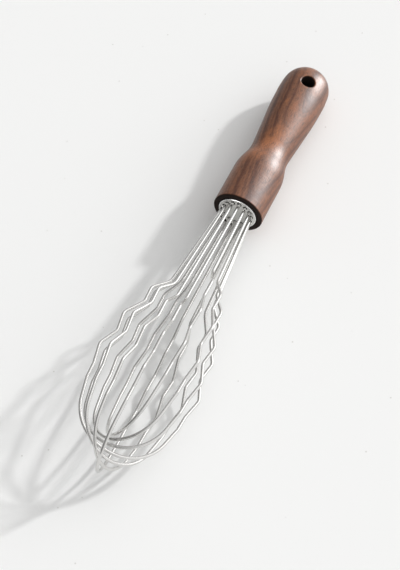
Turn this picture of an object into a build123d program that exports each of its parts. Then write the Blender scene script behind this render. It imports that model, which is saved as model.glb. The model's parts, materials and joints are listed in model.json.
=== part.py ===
"""Balloon whisk: a turned wooden handle and seven waved steel wire loops set in a steel ferrule.

The whisk lies on a table, as it rests: on the handle's bulb and on the lowest waves of its two
longest loops. +Z is up, the handle points along +Y and the loops' tips along -Y. Places along the
whisk's own axis are reaches, counted from the handle's mouth: positive towards the tips and
negative into the handle. Places round that axis are clock angles in degrees, counted from straight
up towards +X.
"""

from build123d import *
from math import asin, atan2, cos, hypot, pi, radians, sin, tan
import os

# Ferrule, its wire plate and the resin behind it
ferrule_diameter = 24.8
ferrule_wall = 1.0
ferrule_length = 30.0
ferrule_proud = 0.5
lip_rounding_share = 0.4
plate_thickness = 1.2
plate_recess = 0.2
plate_clearance = 0.05
plate_rim = 0.6
wire_hole_clearance = 0.45
resin_clearance = 0.05

# Handle: the lengths of its stretches from mouth to end, its diameters and its roundings
collar_wall = 3.65
collar_length = 34.9
shoulder_length = 12.6
grip_length = 40.8
bulb_length = 17.5
end_length = 19.5
waist_diameter = 25.0
grip_diameter = 31.9
bulb_diameter = 32.8
end_diameter = 28.4
mouth_rounding = 1.2
shoulder_rounding = 37.0
waist_rounding = 31.0
bulb_rounding = 200.0
taper_rounding = 80.0
end_rounding = 15.5
socket_clearance = 0.1
socket_chamfer = 0.4

# Hanging hole, drilled across the bulb
hanging_hole_diameter = 8.8
hanging_hole_setback = 20.1
hanging_hole_rounding = 0.8
hanging_hole_clock = 18.0

# Wires and the roundings of their bends
wire_diameter = 2.0
wire_anchor_depth = 24.0
neck_rounding = 8.0
wave_rounding = 5.0
tip_rounding = 26.0

# Cage: the middle loop's half outline, as shares of its length and its greatest radius
cage_length = 176.9
cage_radius = 30.5
wave_reach_shares = [0.374, 0.428, 0.489, 0.561, 0.631, 0.700, 0.773, 0.824]
wave_spread_shares = [0.452, 0.702, 0.685, 0.908, 0.846, 1.000, 0.915, 0.898]
tip_spread_share = 0.67

# How far the seven loops' waves and tips stand ahead of that outline, and how wide each loop is
wave_lead = 11.7
tip_lead = 11.5
wave_lead_shares = [1.00, 1.00, 0.27, -0.03, -0.36, -0.83, -1.05]
tip_lead_shares = [1.00, 0.70, 0.35, 0.03, -0.30, -0.61, -0.92]
loop_width_shares = [0.945, 0.945, 1.01, 1.07, 1.00, 1.00, 1.00]

# One overrun serves all cuts
overrun = 1.0

# Sizes that follow from the ones above
wire_radius = wire_diameter / 2
loop_count = len(loop_width_shares)
socket_radius = ferrule_diameter / 2 + socket_clearance
collar_radius = socket_radius + collar_wall
waist_reach = collar_length + shoulder_length
bulb_reach = waist_reach + grip_length
taper_reach = bulb_reach + bulb_length
handle_length = taper_reach + end_length
sleeve_radius = ferrule_diameter / 2 - ferrule_wall
plate_radius = sleeve_radius - plate_clearance
wire_hole_radius = wire_radius + wire_hole_clearance
wire_circle_radius = plate_radius - plate_rim - wire_hole_radius
plate_front = ferrule_proud - plate_recess
resin_front = plate_front - plate_thickness - resin_clearance


def turn_at(points, corner):
    """Angle in radians by which an outline turns at one of its inner points."""
    (x0, y0), (x1, y1), (x2, y2) = points[corner - 1 : corner + 2]
    bend = atan2(y2 - y1, x2 - x1) - atan2(y1 - y0, x1 - x0)
    return abs((bend + pi) % (2 * pi) - pi)


def roundings_that_fit(points, wanted):
    """Radii for an outline's inner points, held back where two arcs would meet on a short run."""
    run_share = 0.98
    radii = list(wanted)
    tangents = [tan(turn_at(points, corner) / 2) for corner in range(1, len(points) - 1)]
    for run in range(len(points) - 1):
        (x0, y0), (x1, y1) = points[run : run + 2]
        ends = [end for end in (run - 1, run) if 0 <= end < len(radii)]
        used = sum(radii[end] * tangents[end] for end in ends)
        room = run_share * hypot(x1 - x0, y1 - y0)
        if used > room:
            for end in ends:
                radii[end] *= room / used
    return radii


def arc_centre(points, corner, radius):
    """Centre of the arc that rounds one of an outline's inner points."""
    before, here, after = (Vector(*point) for point in points[corner - 1 : corner + 2])
    inwards = ((before - here).normalized() + (after - here).normalized()).normalized()
    return here + inwards * (radius / cos(turn_at(points, corner) / 2))


def loop_clock(index):
    """Clock angle of a loop's upper flank, where the first two loops stand either side of up."""
    return 180 / loop_count * (0.5 - index)


def loop_half(index):
    """Half of a loop's centre line, from its buried end to its tip: corner points and radii."""
    width = cage_radius * loop_width_shares[index]
    lead = wave_lead * wave_lead_shares[index]
    tip = cage_length + tip_lead * tip_lead_shares[index]
    flank = [
        (cage_length * reach_share + lead, width * spread_share)
        for reach_share, spread_share in zip(wave_reach_shares, wave_spread_shares)
    ]
    neck_reach, neck_spread = flank[0]
    narrowing = (neck_spread - wire_circle_radius) * wire_anchor_depth / neck_reach
    anchor = (-wire_anchor_depth, wire_circle_radius - narrowing)
    points = [anchor, *flank, (tip, width * tip_spread_share), (tip, 0)]
    waves = [wave_rounding] * (len(flank) - 1)
    return points, roundings_that_fit(points, [neck_rounding, *waves, tip_rounding])


# The handle's outline, from the middle of its mouth to the middle of its end
handle_outline = [
    (0, 0),
    (0, collar_radius),
    (-collar_length, collar_radius),
    (-waist_reach, waist_diameter / 2),
    (-bulb_reach, grip_diameter / 2),
    (-taper_reach, bulb_diameter / 2),
    (-handle_length, end_diameter / 2),
    (-handle_length, 0),
]
handle_roundings = roundings_that_fit(
    handle_outline,
    [mouth_rounding, shoulder_rounding, waist_rounding, bulb_rounding, taper_rounding, end_rounding],
)

# Resting tilt: the line under the bulb's arc and under the first two loops' widest waves
taper_corner = handle_outline.index((-taper_reach, bulb_diameter / 2))
bulb_arc_radius = handle_roundings[taper_corner - 1]
bulb_arc = arc_centre(handle_outline, taper_corner, bulb_arc_radius)

resting_points, resting_roundings = loop_half(0)
wave_corner = 1 + wave_spread_shares.index(max(wave_spread_shares))
wave_bend = resting_roundings[wave_corner - 1]
wave_arc = arc_centre(resting_points, wave_corner, wave_bend)
foreshortening = cos(radians(loop_clock(0)))
wave_arc_radius = wave_bend * foreshortening + wire_radius

rest_span = wave_arc.X - bulb_arc.X
rest_drop = wave_arc.Y * foreshortening - bulb_arc.Y
rest_lean = asin((wave_arc_radius - bulb_arc_radius) / hypot(rest_span, rest_drop))
tilt = atan2(rest_drop, rest_span) + rest_lean

# The whisk's own frame, over an origin on the table midway along the whisk
tip_reach = cage_length + tip_lead * max(tip_lead_shares) + wire_radius
mouth = Vector(
    0,
    (tip_reach - handle_length) * cos(tilt) / 2,
    bulb_arc_radius + bulb_arc.Y * cos(tilt) - bulb_arc.X * sin(tilt),
)
towards_tip = Vector(0, -cos(tilt), sin(tilt))
upwards = Vector(0, sin(tilt), cos(tilt))
sideways = Vector(1, 0, 0)
whisk_axis = Axis(mouth, towards_tip)


def clock_direction(clock):
    """Direction square to the axis at a clock angle."""
    return upwards * cos(radians(clock)) + sideways * sin(radians(clock))


def flank_plane(clock):
    """Plane along the axis, with X towards the tips and Y away from the axis at a clock angle."""
    return Plane(origin=mouth, x_dir=towards_tip, z_dir=towards_tip.cross(clock_direction(clock)))


def cross_plane(reach):
    """Plane square to the axis, facing the tips."""
    return Plane(origin=mouth + towards_tip * reach, x_dir=sideways, z_dir=towards_tip)


os.makedirs("parts", exist_ok=True)

# Handle: turned on its axis, bored for the ferrule and drilled across for hanging
with BuildPart() as handle:
    with BuildSketch(flank_plane(0)):
        with BuildLine():
            FilletPolyline(*handle_outline, radius=handle_roundings)
            Line(handle_outline[-1], handle_outline[0])
        make_face()
    revolve(axis=whisk_axis)
    with BuildSketch(cross_plane(overrun)):
        Circle(socket_radius)
    extrude(amount=-overrun - ferrule_length, mode=Mode.SUBTRACT)
    mouth_edges = handle.edges().filter_by(GeomType.CIRCLE).group_by(whisk_axis)[-1]
    chamfer(mouth_edges.sort_by(SortBy.RADIUS)[0], length=socket_chamfer)
    hole_plane = Plane(
        origin=mouth + towards_tip * (hanging_hole_setback - handle_length),
        x_dir=towards_tip,
        z_dir=clock_direction(hanging_hole_clock),
    )
    with BuildSketch(hole_plane):
        Circle(hanging_hole_diameter / 2)
    extrude(amount=bulb_diameter, both=True, mode=Mode.SUBTRACT)
    rims = handle.edges(Select.LAST).filter_by(GeomType.LINE, reverse=True)
    fillet(rims, radius=hanging_hole_rounding)
handle.part.label = "handle"
export_step(handle.part, "parts/handle.step")

# Ferrule: a steel sleeve in the handle's mouth, with a rounded lip that stands proud
with BuildPart() as ferrule:
    with BuildSketch(cross_plane(ferrule_proud)):
        Circle(ferrule_diameter / 2)
        Circle(sleeve_radius, mode=Mode.SUBTRACT)
    extrude(amount=-ferrule_proud - ferrule_length)
    lip = ferrule.faces().sort_by(whisk_axis)[-1]
    fillet(lip.edges(), radius=lip_rounding_share * ferrule_wall)
ferrule.part.label = "ferrule"
export_step(ferrule.part, "parts/ferrule.step")

# Wire plate: a disc inside the ferrule's lip, with a hole round each wire
with BuildPart() as wire_plate:
    with BuildSketch(cross_plane(plate_front)):
        Circle(plate_radius)
        with PolarLocations(wire_circle_radius, 2 * loop_count, start_angle=90 - loop_clock(0)):
            Circle(wire_hole_radius, mode=Mode.SUBTRACT)
    extrude(amount=-plate_thickness)
wire_plate.part.label = "wire_plate"
export_step(wire_plate.part, "parts/wire_plate.step")

# Wire loops: each a single round wire, from its buried end round the tip and back
buried_ends = []
for index in range(loop_count):
    points, radii = loop_half(index)
    upper = points[:-1]
    lower = [(reach, -spread) for reach, spread in reversed(upper)]
    with BuildPart() as wire_loop:
        with BuildLine(flank_plane(loop_clock(index))) as route:
            FilletPolyline(*upper, *lower, radius=[*radii, *reversed(radii)])
        start = Plane(origin=route.line @ 0, z_dir=route.line % 0)
        finish = Plane(origin=route.line @ 1, z_dir=-(route.line % 1))
        with BuildSketch(start):
            Circle(wire_radius)
        sweep()
    buried_ends += [start, finish]
    wire_loop.part.label = f"wire_loop_{index + 1}"
    export_step(wire_loop.part, f"parts/wire_loop_{index + 1}.step")

# Resin fill: the dark plug in the ferrule that holds the wires' buried ends
with BuildPart() as resin_fill:
    with BuildSketch(cross_plane(resin_front)):
        Circle(sleeve_radius - resin_clearance)
    extrude(amount=-resin_front - ferrule_length)
    for buried_end in buried_ends:
        with BuildSketch(buried_end.offset(-resin_clearance)):
            Circle(wire_radius + resin_clearance)
        extrude(amount=wire_anchor_depth + overrun, mode=Mode.SUBTRACT)
resin_fill.part.label = "resin_fill"
export_step(resin_fill.part, "parts/resin_fill.step")
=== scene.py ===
"""Looks for a balloon whisk with a turned walnut handle and a cage of zigzag steel wires.

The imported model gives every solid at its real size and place, in metres. This script dresses the
solids and sets the table, the light and the camera round them. It moves and reshapes none.
"""

from __future__ import annotations

import json
import logging
import math
from dataclasses import dataclass, field
from enum import Enum
from typing import Any

import bmesh
import bpy
from mathutils import Euler, Matrix, Vector

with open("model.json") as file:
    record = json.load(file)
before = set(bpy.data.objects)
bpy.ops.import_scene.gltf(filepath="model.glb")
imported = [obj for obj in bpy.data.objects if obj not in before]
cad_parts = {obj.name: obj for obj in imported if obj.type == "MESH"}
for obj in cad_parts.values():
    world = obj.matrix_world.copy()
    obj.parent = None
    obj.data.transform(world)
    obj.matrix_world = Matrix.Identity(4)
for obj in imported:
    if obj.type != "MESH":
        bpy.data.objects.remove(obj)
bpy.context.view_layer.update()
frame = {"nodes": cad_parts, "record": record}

log = logging.getLogger("whisk")

MM = 0.001


def linear(hex_colour: str) -> tuple[float, float, float, float]:
    """Turn an sRGB hex colour into linear light.

    Args:
        hex_colour: Six hex digits.

    Returns:
        Linear red, green and blue, and full opacity.
    """
    channels = [int(hex_colour[i : i + 2], 16) / 255 for i in (0, 2, 4)]
    red, green, blue = (
        c / 12.92 if c <= 0.04045 else ((c + 0.055) / 1.055) ** 2.4 for c in channels
    )
    return red, green, blue, 1.0


def add_node(
    tree: bpy.types.NodeTree, kind: str, settings: dict[str, Any] | None = None, **inputs: Any
) -> bpy.types.Node:
    """Add one node with its settings, and set or link its inputs.

    Args:
        tree: Node tree that takes the node.
        kind: The node's type name.
        settings: Properties of the node itself.
        **inputs: Socket values by socket name, with underscores for spaces, or by index as i0, i1.
            A socket is linked, and anything else is set as the socket's value.

    Returns:
        The new node.
    """
    node = tree.nodes.new(kind)
    for name, value in (settings or {}).items():
        setattr(node, name, value)
    for name, value in inputs.items():
        by_index = name[0] == "i" and name[1:].isdigit()
        socket = node.inputs[int(name[1:])] if by_index else node.inputs[name.replace("_", " ")]
        if isinstance(value, bpy.types.NodeSocket):
            tree.links.new(value, socket)
        else:
            socket.default_value = value
    return node


def set_stops(colour_ramp: bpy.types.ColorRamp, stops: tuple[tuple[float, str], ...]) -> None:
    """Give a new colour ramp its stops.

    Args:
        colour_ramp: The ramp, with the two stops that it comes with.
        stops: Places from 0 to 1, each with its sRGB hex colour.
    """
    elements = colour_ramp.elements
    while len(elements) < len(stops):
        elements.new(0.5)
    for element, (place, colour) in zip(elements, stops):
        element.position = place
        element.color = linear(colour)


def new_material(name: str) -> tuple[bpy.types.Material, bpy.types.NodeTree, bpy.types.Node]:
    """Make an empty material.

    Args:
        name: The material's name.

    Returns:
        The material, its node tree and its principled shader.
    """
    material = bpy.data.materials.new(name)
    material.use_nodes = True
    tree = material.node_tree
    tree.nodes.clear()
    output = add_node(tree, "ShaderNodeOutputMaterial")
    shader = add_node(tree, "ShaderNodeBsdfPrincipled")
    tree.links.new(shader.outputs[0], output.inputs[0])
    return material, tree, shader


@dataclass(frozen=True)
class WhiskAxis:
    """The line that the handle was turned on, found from the hanging hole that crosses it."""

    hole_centre: Vector
    hole_direction: Vector
    hole_to_mouth: float = 105.2 * MM

    @classmethod
    def from_record(cls, record: dict[str, Any]) -> WhiskAxis:
        """Read the hanging hole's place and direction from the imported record.

        Args:
            record: The part's record, as it was packed.

        Returns:
            The axis.
        """
        hole = next(mount for mount in record["mounts"] if mount["name"] == "hanging_hole")
        return cls(Vector(hole["pos_m"]), Vector(hole["axis"]))

    @property
    def tilt(self) -> float:
        """Angle by which the axis rises towards the loops' tips."""
        return math.atan2(self.hole_direction.y, self.hole_direction.z)

    @property
    def towards_tips(self) -> Vector:
        """Unit vector along the axis, towards the loops' tips."""
        return Vector((0, -math.cos(self.tilt), math.sin(self.tilt)))

    @property
    def mouth(self) -> Vector:
        """Middle of the handle's mouth."""
        return self.hole_centre + self.towards_tips * self.hole_to_mouth

    def grain_space(self, tree: bpy.types.NodeTree) -> bpy.types.NodeSocket:
        """Turn Object coordinates so that Y runs along the axis, with its zero at the mouth.

        Args:
            tree: Node tree that takes the two nodes.

        Returns:
            Socket with the turned coordinates, in metres, where the tips lie towards -Y.
        """
        turned = Matrix.Rotation(self.tilt, 3, "X") @ self.mouth
        coordinates = add_node(tree, "ShaderNodeTexCoord")
        mapping = add_node(
            tree,
            "ShaderNodeMapping",
            Vector=coordinates.outputs["Object"],
            Location=-turned,
            Rotation=(self.tilt, 0, 0),
        )
        return mapping.outputs[0]


@dataclass(frozen=True)
class OiledWalnut:
    """Black walnut, turned, sanded and oiled: a satin brown with arched streaks and dark pores.

    The turned outline cuts the growth rings at a slant, so they show as long arched streaks. The
    oil leaves a thin film, which gives the soft sheen. Cut fibres drink more of it, and the
    mouth's rim and the drilled hole also get painted shade, so they are almost black and dull.

    The fibres, the pores and the marks of turning are drawn a little coarser than real ones,
    which are too fine to show. Tones run from a ring's dark late wood to its pale early wood.
    Edges are the levels of a noise between which a mask goes from none to full.
    """

    axis: WhiskAxis
    tones: tuple[tuple[float, str], ...] = (
        (0.56, "563223"),
        (0.65, "643c29"),
        (0.74, "734a34"),
        (0.90, "83543b"),
    )

    ring_width: float = 4.4 * MM
    ring_phase: float = 1020.0 * MM
    ring_detail: float = 5.0
    ring_contrast: float = 0.62
    ring_sway: float = 3.0 * MM
    sway_length: float = 30.0 * MM
    sway_contrast: float = 0.45
    pith: Vector = field(default_factory=lambda: Vector((0.021, 0.0, 0.031)))
    pith_lean: tuple[float, float, float] = (math.radians(9), 0.0, math.radians(-3.5))

    fibre_width: float = 0.9 * MM
    fibre_stretch: float = 0.06
    fibre_share: float = 0.5

    warm: str = "a8683e"
    warm_width: float = 15.0 * MM
    warm_stretch: float = 0.4
    warm_seed: float = 1.0
    warm_edges: tuple[float, float] = (0.52, 0.68)
    warm_share: float = 0.7

    pore: str = "2b1c16"
    pore_width: float = 0.45 * MM
    pore_stretch: float = 0.14
    pore_edges: tuple[float, float] = (0.50, 0.68)
    pore_share: float = 0.85

    # Near black on the mouth's rim and in the hole: oil-dark end grain plus painted shade.
    end_grain_and_shade: str = "261c18"
    end_rim: float = 1.1 * MM
    rim_core: float = 0.4
    hole_oil_and_shade: float = 4.9 * MM
    oil_and_shade_fade: float = 0.4 * MM

    # Painted shade: a black line where the gap between the socket and the ferrule lies in shade.
    gap_shade: str = "0b0908"
    gap_shade_radius: float = 13.1 * MM
    gap_shade_fade: float = 0.2 * MM

    turning_pitch: float = 1.1 * MM
    turning_squeeze: float = 0.12
    turning_depth: float = 0.55
    relief_strength: float = 0.7
    relief_height: float = 0.3 * MM

    roughness: float = 0.45
    satin_edges: tuple[float, float] = (0.3, 0.7)
    satin_spread: tuple[float, float] = (0.9, 1.15)
    cut_roughness: float = 0.9
    film: float = 0.45
    wood_gloss: float = 0.2

    def material(self) -> bpy.types.Material:
        """Build the wood from growth rings, fibres and pores that run along the handle."""
        material, tree, shader = new_material("oiled_walnut")
        space = self.axis.grain_space(tree)
        pores = self._stretched_noise(tree, space, self.pore_width, self.pore_stretch)
        oiled_end_and_shade = self._oiled_end_and_shade_mask(tree, space)
        film = add_node(
            tree,
            "ShaderNodeMath",
            {"operation": "SUBTRACT", "use_clamp": True},
            i0=self.film,
            i1=oiled_end_and_shade,
        ).outputs[0]
        tree.links.new(self._colour(tree, space, pores, oiled_end_and_shade), shader.inputs["Base Color"])
        tree.links.new(self._gloss(tree, pores, oiled_end_and_shade), shader.inputs["Roughness"])
        tree.links.new(self._relief(tree, space, pores), shader.inputs["Normal"])
        tree.links.new(film, shader.inputs["Coat Weight"])
        shader.inputs["Coat Roughness"].default_value = self.roughness
        shader.inputs["Specular IOR Level"].default_value = self.wood_gloss
        return material

    def _colour(
        self,
        tree: bpy.types.NodeTree,
        space: bpy.types.NodeSocket,
        pores: bpy.types.NodeSocket,
        oiled_end_and_shade: bpy.types.NodeSocket,
    ) -> bpy.types.NodeSocket:
        """Lay warm zones, pores, the cut ends (oil-dark, with painted shade) and the painted gap
        shade over the rings' own tones.

        Args:
            tree: Node tree that takes the nodes.
            space: Coordinates that run along the handle.
            pores: Noise of the pores.
            oiled_end_and_shade: Mask of the oil-dark cut ends and their painted shade.

        Returns:
            Socket with the wood's colour.
        """
        figure = add_node(
            tree,
            "ShaderNodeMath",
            {"operation": "MULTIPLY_ADD"},
            i0=self._stretched_noise(tree, space, self.fibre_width, self.fibre_stretch),
            i1=self.fibre_share,
            i2=self._rings(tree, space),
        ).outputs[0]
        toned = add_node(tree, "ShaderNodeValToRGB", i0=figure)
        set_stops(toned.color_ramp, self.tones)
        warm_zones = add_node(
            tree,
            "ShaderNodeMapRange",
            Value=self._stretched_noise(
                tree, space, self.warm_width, self.warm_stretch, self.warm_seed
            ),
            From_Min=self.warm_edges[0],
            From_Max=self.warm_edges[1],
            To_Max=self.warm_share,
        ).outputs[0]
        open_pores = add_node(
            tree,
            "ShaderNodeMapRange",
            Value=pores,
            From_Min=self.pore_edges[0],
            From_Max=self.pore_edges[1],
            To_Max=self.pore_share,
        ).outputs[0]
        colour = toned.outputs[0]
        for mask, over in (
            (warm_zones, self.warm),
            (open_pores, self.pore),
            # The cut ends are darkened partly by oil and partly by painted shade in the rim and
            # the hole.
            (oiled_end_and_shade, self.end_grain_and_shade),
            # Painted shade in the gap at the ferrule.
            (self._gap_shade_mask(tree, space), self.gap_shade),
        ):
            colour = add_node(
                tree,
                "ShaderNodeMix",
                {"data_type": "RGBA"},
                Factor=mask,
                i6=colour,
                i7=linear(over),
            ).outputs[2]
        return colour

    def _gloss(
        self,
        tree: bpy.types.NodeTree,
        pores: bpy.types.NodeSocket,
        oiled_end_and_shade: bpy.types.NodeSocket,
    ) -> bpy.types.NodeSocket:
        """Vary the satin with the pores, and dull the cut ends.

        Args:
            tree: Node tree that takes the nodes.
            pores: Noise of the pores.
            oiled_end_and_shade: Mask of the oil-dark cut ends and their painted shade.

        Returns:
            Socket with the wood's roughness.
        """
        satin = add_node(
            tree,
            "ShaderNodeMapRange",
            Value=pores,
            From_Min=self.satin_edges[0],
            From_Max=self.satin_edges[1],
            To_Min=self.roughness * self.satin_spread[0],
            To_Max=self.roughness * self.satin_spread[1],
        ).outputs[0]
        return add_node(
            tree,
            "ShaderNodeMix",
            {"data_type": "FLOAT"},
            Factor=oiled_end_and_shade,
            i2=satin,
            i3=self.cut_roughness,
        ).outputs[0]

    def _relief(
        self,
        tree: bpy.types.NodeTree,
        space: bpy.types.NodeSocket,
        pores: bpy.types.NodeSocket,
    ) -> bpy.types.NodeSocket:
        """Raise the pores and the faint rings that the lathe's sanding left round the handle.

        Args:
            tree: Node tree that takes the nodes.
            space: Coordinates that run along the handle.
            pores: Noise of the pores.

        Returns:
            Socket with the bumped normal.
        """
        squeezed = add_node(
            tree,
            "ShaderNodeMapping",
            Vector=space,
            Scale=(self.turning_squeeze, 1, self.turning_squeeze),
        ).outputs[0]
        marks = add_node(
            tree,
            "ShaderNodeTexNoise",
            Vector=squeezed,
            Scale=1 / self.turning_pitch,
            Detail=2.0,
        ).outputs["Fac"]
        height = add_node(
            tree,
            "ShaderNodeMath",
            {"operation": "MULTIPLY_ADD"},
            i0=marks,
            i1=self.turning_depth,
            i2=pores,
        ).outputs[0]
        return add_node(
            tree,
            "ShaderNodeBump",
            Height=height,
            Strength=self.relief_strength,
            Distance=self.relief_height,
        ).outputs[0]

    def _rings(
        self, tree: bpy.types.NodeTree, space: bpy.types.NodeSocket
    ) -> bpy.types.NodeSocket:
        """Grow rings round a pith that lies outside the handle and leans away from it.

        Args:
            tree: Node tree that takes the nodes.
            space: Coordinates that run along the handle.

        Returns:
            Socket with the rings' tone, from 0 to 1.
        """
        lean = Euler(self.pith_lean).to_matrix()
        leaning = add_node(
            tree,
            "ShaderNodeMapping",
            Vector=space,
            Location=-(lean @ self.pith),
            Rotation=self.pith_lean,
        ).outputs[0]
        sway = add_node(
            tree,
            "ShaderNodeTexNoise",
            Vector=leaning,
            Scale=1 / self.sway_length,
            Detail=2.0,
            Roughness=self.sway_contrast,
        ).outputs["Color"]
        centred = add_node(
            tree, "ShaderNodeVectorMath", {"operation": "SUBTRACT"}, i0=sway, i1=(0.5, 0.5, 0.5)
        ).outputs[0]
        swayed = add_node(
            tree,
            "ShaderNodeVectorMath",
            {"operation": "MULTIPLY_ADD"},
            i0=centred,
            i1=(2 * self.ring_sway,) * 3,
            i2=leaning,
        ).outputs[0]
        flat = add_node(
            tree, "ShaderNodeVectorMath", {"operation": "MULTIPLY"}, i0=swayed, i1=(1, 0, 1)
        ).outputs[0]
        distance = add_node(
            tree, "ShaderNodeVectorMath", {"operation": "LENGTH"}, i0=flat
        ).outputs["Value"]
        phased = add_node(
            tree, "ShaderNodeMath", {"operation": "ADD"}, i0=distance, i1=self.ring_phase
        ).outputs[0]
        return add_node(
            tree,
            "ShaderNodeTexNoise",
            {"noise_dimensions": "1D"},
            W=phased,
            Scale=1 / self.ring_width,
            Detail=self.ring_detail,
            Roughness=self.ring_contrast,
        ).outputs["Fac"]

    def _stretched_noise(
        self,
        tree: bpy.types.NodeTree,
        space: bpy.types.NodeSocket,
        width: float,
        stretch: float,
        seed: float = 0.0,
    ) -> bpy.types.NodeSocket:
        """Draw a noise that is long in the grain's direction.

        Args:
            tree: Node tree that takes the nodes.
            space: Coordinates that run along the handle.
            width: Size of one fleck across the grain.
            stretch: The fleck's width as a share of its length.
            seed: Number that picks another pattern of the same kind.

        Returns:
            Socket with the noise.
        """
        long_space = add_node(
            tree, "ShaderNodeMapping", Vector=space, Scale=(1, stretch, 1)
        ).outputs[0]
        return add_node(
            tree,
            "ShaderNodeTexNoise",
            {"noise_dimensions": "4D"},
            Vector=long_space,
            W=seed,
            Scale=1 / width,
            Detail=3.0,
            Roughness=0.6,
        ).outputs["Fac"]

    def _gap_shade_mask(
        self, tree: bpy.types.NodeTree, space: bpy.types.NodeSocket
    ) -> bpy.types.NodeSocket:
        """Mask the painted shade: a black line at the socket's edge, where the gap to the ferrule
        lies in shade.

        Args:
            tree: Node tree that takes the nodes.
            space: Coordinates that run along the handle.

        Returns:
            Socket that is 1 on the painted shade line.
        """
        flat = add_node(
            tree, "ShaderNodeVectorMath", {"operation": "MULTIPLY"}, i0=space, i1=(1, 0, 1)
        ).outputs[0]
        radius = add_node(
            tree, "ShaderNodeVectorMath", {"operation": "LENGTH"}, i0=flat
        ).outputs["Value"]
        inner = add_node(
            tree,
            "ShaderNodeMapRange",
            Value=radius,
            From_Min=self.gap_shade_radius,
            From_Max=self.gap_shade_radius - self.gap_shade_fade,
        ).outputs[0]
        along = add_node(tree, "ShaderNodeSeparateXYZ", i0=space).outputs["Y"]
        near = add_node(
            tree, "ShaderNodeMath", {"operation": "LESS_THAN"}, i0=along, i1=self.end_rim
        ).outputs[0]
        return add_node(
            tree, "ShaderNodeMath", {"operation": "MULTIPLY"}, i0=inner, i1=near
        ).outputs[0]

    def _oiled_end_and_shade_mask(
        self, tree: bpy.types.NodeTree, space: bpy.types.NodeSocket
    ) -> bpy.types.NodeSocket:
        """Mask the mouth's flat face and the drilled hole, where cut fibres drink the oil and
        where shade is painted in as well.

        Args:
            tree: Node tree that takes the nodes.
            space: Coordinates that run along the handle.

        Returns:
            Socket that is 1 where the wood is almost black.
        """
        along = add_node(tree, "ShaderNodeSeparateXYZ", i0=space).outputs["Y"]
        # Painted shade on the mouth's rim, over its oil-dark end grain.
        rim = add_node(
            tree,
            "ShaderNodeMapRange",
            Value=along,
            From_Min=self.end_rim,
            From_Max=self.end_rim * self.rim_core,
        ).outputs[0]
        place = add_node(tree, "ShaderNodeTexCoord").outputs["Object"]
        from_hole = add_node(
            tree,
            "ShaderNodeVectorMath",
            {"operation": "SUBTRACT"},
            i0=place,
            i1=self.axis.hole_centre,
        ).outputs[0]
        crossed = add_node(
            tree,
            "ShaderNodeVectorMath",
            {"operation": "CROSS_PRODUCT"},
            i0=from_hole,
            i1=self.axis.hole_direction,
        ).outputs[0]
        distance = add_node(
            tree, "ShaderNodeVectorMath", {"operation": "LENGTH"}, i0=crossed
        ).outputs["Value"]
        # Painted shade inside the drilled hole, over its oil-dark end grain.
        hole = add_node(
            tree,
            "ShaderNodeMapRange",
            Value=distance,
            From_Min=self.hole_oil_and_shade,
            From_Max=self.hole_oil_and_shade - self.oil_and_shade_fade,
        ).outputs[0]
        return add_node(
            tree, "ShaderNodeMath", {"operation": "MAXIMUM"}, i0=rim, i1=hole
        ).outputs[0]


@dataclass(frozen=True)
class PolishedStainless:
    """Stainless steel wire and strip, drawn and polished bright.

    Faint drawing marks change its gloss a little, so that its white streaks are not quite even.
    The marks are drawn much coarser than real ones, which are too fine to show.
    """

    name: str
    colour: str = "d6d5d3"
    roughness: float = 0.15
    mark_size: float = 0.4 * MM
    mark_edges: tuple[float, float] = (0.3, 0.7)
    gloss_spread: tuple[float, float] = (0.8, 1.3)

    def material(self) -> bpy.types.Material:
        """Build the metal with a faint change of gloss over its surface."""
        material, tree, shader = new_material(self.name)
        coordinates = add_node(tree, "ShaderNodeTexCoord").outputs["Object"]
        marks = add_node(
            tree,
            "ShaderNodeTexNoise",
            Vector=coordinates,
            Scale=1 / self.mark_size,
            Detail=3.0,
        ).outputs["Fac"]
        gloss = add_node(
            tree,
            "ShaderNodeMapRange",
            Value=marks,
            From_Min=self.mark_edges[0],
            From_Max=self.mark_edges[1],
            To_Min=self.roughness * self.gloss_spread[0],
            To_Max=self.roughness * self.gloss_spread[1],
        ).outputs[0]
        shader.inputs["Base Color"].default_value = linear(self.colour)
        shader.inputs["Metallic"].default_value = 1.0
        tree.links.new(gloss, shader.inputs["Roughness"])
        return material


@dataclass(frozen=True)
class PunchedStainless:
    """Stainless plate with a brushed bright face, and painted shade on the walls of its punched
    holes. The face stands a little way out from the handle's mouth, and the walls just behind it
    are painted dark as shade.
    """

    axis: WhiskAxis
    face_colour: str = "efeeeb"
    # Painted shade: the hole walls are near black because they lie in shade.
    hole_wall_shade: str = "141312"
    face_reach: float = 0.3 * MM
    wall_edges: tuple[float, float] = (0.03 * MM, 0.12 * MM)
    roughness: float = 0.42
    wall_roughness: float = 0.8

    def material(self) -> bpy.types.Material:
        """Build the plate's bright face and the painted shade on its hole walls."""
        material, tree, shader = new_material("punched_stainless")
        space = self.axis.grain_space(tree)
        along = add_node(tree, "ShaderNodeSeparateXYZ", i0=space).outputs["Y"]
        depth = add_node(
            tree,
            "ShaderNodeMapRange",
            Value=along,
            From_Min=self.wall_edges[0] - self.face_reach,
            From_Max=self.wall_edges[1] - self.face_reach,
        ).outputs[0]
        colour = add_node(
            tree,
            "ShaderNodeMix",
            {"data_type": "RGBA"},
            Factor=depth,
            i6=linear(self.face_colour),
            i7=linear(self.hole_wall_shade),
        ).outputs[2]
        gloss = add_node(
            tree,
            "ShaderNodeMapRange",
            Value=depth,
            To_Min=self.roughness,
            To_Max=self.wall_roughness,
        ).outputs[0]
        tree.links.new(colour, shader.inputs["Base Color"])
        tree.links.new(gloss, shader.inputs["Roughness"])
        shader.inputs["Metallic"].default_value = 1.0
        return material


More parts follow.
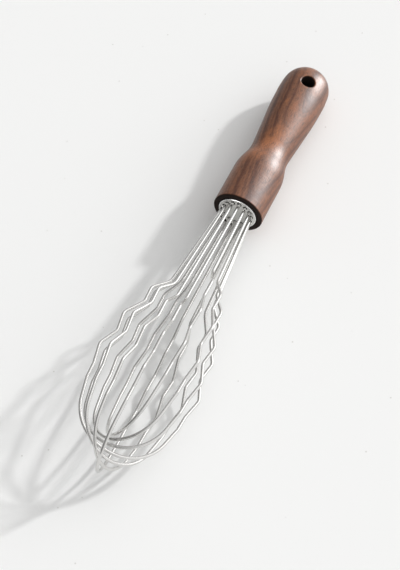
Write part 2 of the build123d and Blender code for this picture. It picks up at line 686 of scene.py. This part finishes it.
@dataclass(frozen=True)
class PottingResin:
    """Epoxy potting resin, poured dark, with a dull and slightly gritty skin."""

    colour: str = "151414"
    roughness: float = 0.55
    grit: float = 0.5 * MM
    grit_strength: float = 0.3
    grit_height: float = 0.1 * MM

    def material(self) -> bpy.types.Material:
        """Build the resin with a slightly uneven skin."""
        material, tree, shader = new_material("potting_resin")
        coordinates = add_node(tree, "ShaderNodeTexCoord").outputs["Object"]
        skin = add_node(
            tree, "ShaderNodeTexNoise", Vector=coordinates, Scale=1 / self.grit
        ).outputs["Fac"]
        bump = add_node(
            tree,
            "ShaderNodeBump",
            Height=skin,
            Strength=self.grit_strength,
            Distance=self.grit_height,
        ).outputs[0]
        tree.links.new(bump, shader.inputs["Normal"])
        shader.inputs["Base Color"].default_value = linear(self.colour)
        shader.inputs["Roughness"].default_value = self.roughness
        return material


@dataclass(frozen=True)
class MattPaint:
    """White matt paint, rolled on, with the roller's faint stipple and a few grey specks.

    Speck edges are distances from a speck's middle, as shares of the specks' spacing.
    """

    colour: str
    roughness: float = 0.7
    stipple_size: float = 1.6 * MM
    stipple_strength: float = 0.2
    stipple_height: float = 0.1 * MM
    speck: str = "dcdbd8"
    speck_spacing: float = 14.0 * MM
    speck_edges: tuple[float, float] = (0.045, 0.03)

    def material(self) -> bpy.types.Material:
        """Build the paint with its stipple and specks."""
        material, tree, shader = new_material("matt_paint")
        coordinates = add_node(tree, "ShaderNodeTexCoord").outputs["Object"]
        stipple = add_node(
            tree, "ShaderNodeTexNoise", Vector=coordinates, Scale=1 / self.stipple_size
        ).outputs["Fac"]
        scatter = add_node(
            tree, "ShaderNodeTexVoronoi", Vector=coordinates, Scale=1 / self.speck_spacing
        ).outputs["Distance"]
        specks = add_node(
            tree,
            "ShaderNodeMapRange",
            Value=scatter,
            From_Min=self.speck_edges[0],
            From_Max=self.speck_edges[1],
        ).outputs[0]
        colour = add_node(
            tree,
            "ShaderNodeMix",
            {"data_type": "RGBA"},
            Factor=specks,
            i6=linear(self.colour),
            i7=linear(self.speck),
        ).outputs[2]
        bump = add_node(
            tree,
            "ShaderNodeBump",
            Height=stipple,
            Strength=self.stipple_strength,
            Distance=self.stipple_height,
        ).outputs[0]
        tree.links.new(colour, shader.inputs["Base Color"])
        tree.links.new(bump, shader.inputs["Normal"])
        shader.inputs["Roughness"].default_value = self.roughness
        return material


def dress(node: str, material: bpy.types.Material) -> None:
    """Give a CAD node a better material.

    Args:
        node: The node's name.
        material: Material for its whole surface.
    """
    piece = frame["nodes"][node]
    piece.data.materials.clear()
    piece.data.materials.append(material)
    log.info("%s wears %s", node, material.name)


@dataclass
class Handle:
    """The turned handle, with its collar, waist, bulb and hanging hole."""

    axis: WhiskAxis

    def build(self) -> None:
        """Dress the handle in walnut."""
        dress("handle", OiledWalnut(self.axis).material())


@dataclass
class Mouth:
    """What closes the handle's mouth: the ferrule, the wire plate and the resin."""

    axis: WhiskAxis
    ferrule_colour: str = "efeeec"
    ferrule_roughness: float = 0.25

    def build(self) -> None:
        """Dress the three pieces."""
        strip = PolishedStainless("ferrule_steel", self.ferrule_colour, self.ferrule_roughness)
        dress("ferrule", strip.material())
        dress("wire_plate", PunchedStainless(self.axis).material())
        dress("resin_fill", PottingResin().material())


@dataclass
class Cage:
    """The seven nested wire loops."""

    loops: int = 7

    def build(self) -> None:
        """Dress every loop in the same polished wire."""
        steel = PolishedStainless("wire_steel").material()
        for number in range(1, self.loops + 1):
            dress(f"wire_loop_{number}", steel)


class Lamp(Enum):
    """The studio's lamps: the sun, the light on the oiled wood and the light on the lip."""

    SUN = "sun"
    SHEEN = "sheen"
    GLINT = "glint"


@dataclass
class Studio:
    """The table, the light and the camera.

    Strengths of the world are Blender's, lamps' powers are in watts, and places are in metres
    from the middle of the whisk. Pane edges are cosines of the angle from the window's middle.
    """

    table_colour: str = "f4f4f3"
    table_size: float = 6.0

    sun_side: Vector = field(default_factory=lambda: Vector((0.615, 0.611, 0.499)))
    sun_distance: float = 2.0
    sun_strength: float = 1.52
    sun_spread: float = math.radians(4.0)
    sheen_place: Vector = field(default_factory=lambda: Vector((1.05, 1.6, 0.32)))
    sheen_width: float = 0.6
    sheen_power: float = 84.0
    glint_place: Vector = field(default_factory=lambda: Vector((-0.37, -0.91, 0.62)))
    glint_width: float = 0.8
    glint_power: float = 12.0

    backdrop_colour: str = "f1f1f0"
    pale_side: Vector = field(default_factory=lambda: Vector((0.8, 0.35, 0.2)))
    room_tones: tuple[tuple[float, str], ...] = (
        (0.0, "6c6c6c"),
        (0.38, "949494"),
        (0.55, "c4c4c4"),
        (0.75, "ececec"),
        (1.0, "ffffff"),
    )
    room_light: float = 1.15
    window_side: Vector = field(default_factory=lambda: Vector((1.15, 1.2, 0.8)))
    pane_edges: tuple[float, float] = (0.88, 0.96)
    pane_light: float = 2.6

    camera_place: tuple[float, float, float] = (0.23693, -0.37588, 0.65375)
    camera_right: tuple[float, float, float] = (0.90500411, 0.41082697, -0.11040273)
    camera_up: tuple[float, float, float] = (-0.29012894, 0.78587537, 0.54609989)
    focal_length: float = 81.03
    sensor_width: float = 36.0

    def build(self) -> None:
        """Set the table, the lamps, the world and the camera."""
        self._table()
        self._lamps()
        self._world()
        self._camera()
        bpy.context.scene.view_settings.view_transform = "Standard"

    def _table(self) -> None:
        """Lay a plain pale table top under the whisk."""
        mesh = bpy.data.meshes.new("table")
        shape = bmesh.new()
        bmesh.ops.create_grid(shape, x_segments=1, y_segments=1, size=self.table_size / 2)
        shape.to_mesh(mesh)
        shape.free()
        table = bpy.data.objects.new("table", mesh)
        bpy.context.scene.collection.objects.link(table)
        mesh.materials.append(MattPaint(self.table_colour).material())

    def _lamps(self) -> None:
        """Hang the sun, and two soft lights that show only as gloss on the wood and the lip."""
        holder, sun = self._lamp(
            Lamp.SUN, "SUN", self.sun_strength, self.sun_side.normalized() * self.sun_distance
        )
        sun.angle = self.sun_spread
        holder.visible_glossy = False
        self._gloss_lamp(
            Lamp.SHEEN, self.sheen_power, self.sheen_width, self.sheen_place, "handle"
        )
        self._gloss_lamp(
            Lamp.GLINT, self.glint_power, self.glint_width, self.glint_place, "ferrule"
        )

    def _lamp(
        self, lamp: Lamp, kind: str, energy: float, place: Vector
    ) -> tuple[bpy.types.Object, bpy.types.Light]:
        """Add one lamp that shines from a place towards the whisk.

        Args:
            lamp: Which lamp it is, for its name.
            kind: Blender's kind of light.
            energy: Strength of the light.
            place: Where it stands.

        Returns:
            The lamp's object and its light.
        """
        light = bpy.data.lights.new(lamp.value, kind)
        light.energy = energy
        holder = bpy.data.objects.new(lamp.value, light)
        holder.location = place
        holder.rotation_mode = "QUATERNION"
        holder.rotation_quaternion = place.to_track_quat("Z", "Y")
        bpy.context.scene.collection.objects.link(holder)
        return holder, light

    def _gloss_lamp(
        self, lamp: Lamp, power: float, width: float, place: Vector, piece: str
    ) -> None:
        """Add a square lamp that shows only as gloss, and only on one piece.

        Args:
            lamp: Which lamp it is, for its name.
            power: Strength of the light.
            width: Side of the square.
            place: Where it stands.
            piece: Name of the piece that it lights.
        """
        holder, light = self._lamp(lamp, "AREA", power, place)
        light.size = width
        holder.visible_diffuse = False
        lit = bpy.data.collections.new(f"lit_by_{lamp.value}")
        lit.objects.link(bpy.data.objects[piece])
        holder.light_linking.receiver_collection = lit

    def _world(self) -> None:
        """Light the room: pale by its soft window, darker across from it, plain to the camera."""
        world = bpy.data.worlds.new("room")
        bpy.context.scene.world = world
        world.use_nodes = True
        tree = world.node_tree
        direction = add_node(tree, "ShaderNodeTexCoord").outputs["Generated"]
        facing, towards_window = (
            add_node(
                tree,
                "ShaderNodeVectorMath",
                {"operation": "DOT_PRODUCT"},
                i0=direction,
                i1=side.normalized(),
            ).outputs["Value"]
            for side in (self.pale_side, self.window_side)
        )
        paleness = add_node(tree, "ShaderNodeMapRange", Value=facing, From_Min=-1.0).outputs[0]
        room = add_node(tree, "ShaderNodeValToRGB", i0=paleness)
        set_stops(room.color_ramp, self.room_tones)
        strength = add_node(
            tree,
            "ShaderNodeMapRange",
            Value=towards_window,
            From_Min=self.pane_edges[0],
            From_Max=self.pane_edges[1],
            To_Min=self.room_light,
            To_Max=self.pane_light,
        ).outputs[0]
        surroundings = add_node(
            tree, "ShaderNodeBackground", Color=room.outputs[0], Strength=strength
        )
        backdrop = add_node(tree, "ShaderNodeBackground", Color=linear(self.backdrop_colour))
        seen = add_node(
            tree,
            "ShaderNodeMixShader",
            i0=add_node(tree, "ShaderNodeLightPath").outputs["Is Camera Ray"],
            i1=surroundings.outputs[0],
            i2=backdrop.outputs[0],
        )
        tree.links.new(seen.outputs[0], tree.nodes["World Output"].inputs["Surface"])

    def _camera(self) -> None:
        """Stand the camera where the photograph was taken from."""
        right, up = Vector(self.camera_right), Vector(self.camera_up)
        turn = Matrix((right, up, right.cross(up))).transposed().to_4x4()
        data = bpy.data.cameras.new("camera")
        data.lens = self.focal_length
        data.sensor_width = self.sensor_width
        camera = bpy.data.objects.new("camera", data)
        camera.matrix_world = Matrix.Translation(self.camera_place) @ turn
        bpy.context.scene.collection.objects.link(camera)
        bpy.context.scene.camera = camera


def main() -> None:
    """Build the whisk's looks, then the studio round it."""
    logging.basicConfig(level=logging.INFO, format="%(name)s: %(message)s")
    axis = WhiskAxis.from_record(frame["record"])
    for assembly in (Handle(axis), Mouth(axis), Cage(), Studio()):
        assembly.build()


if __name__ == "__main__":
    main()
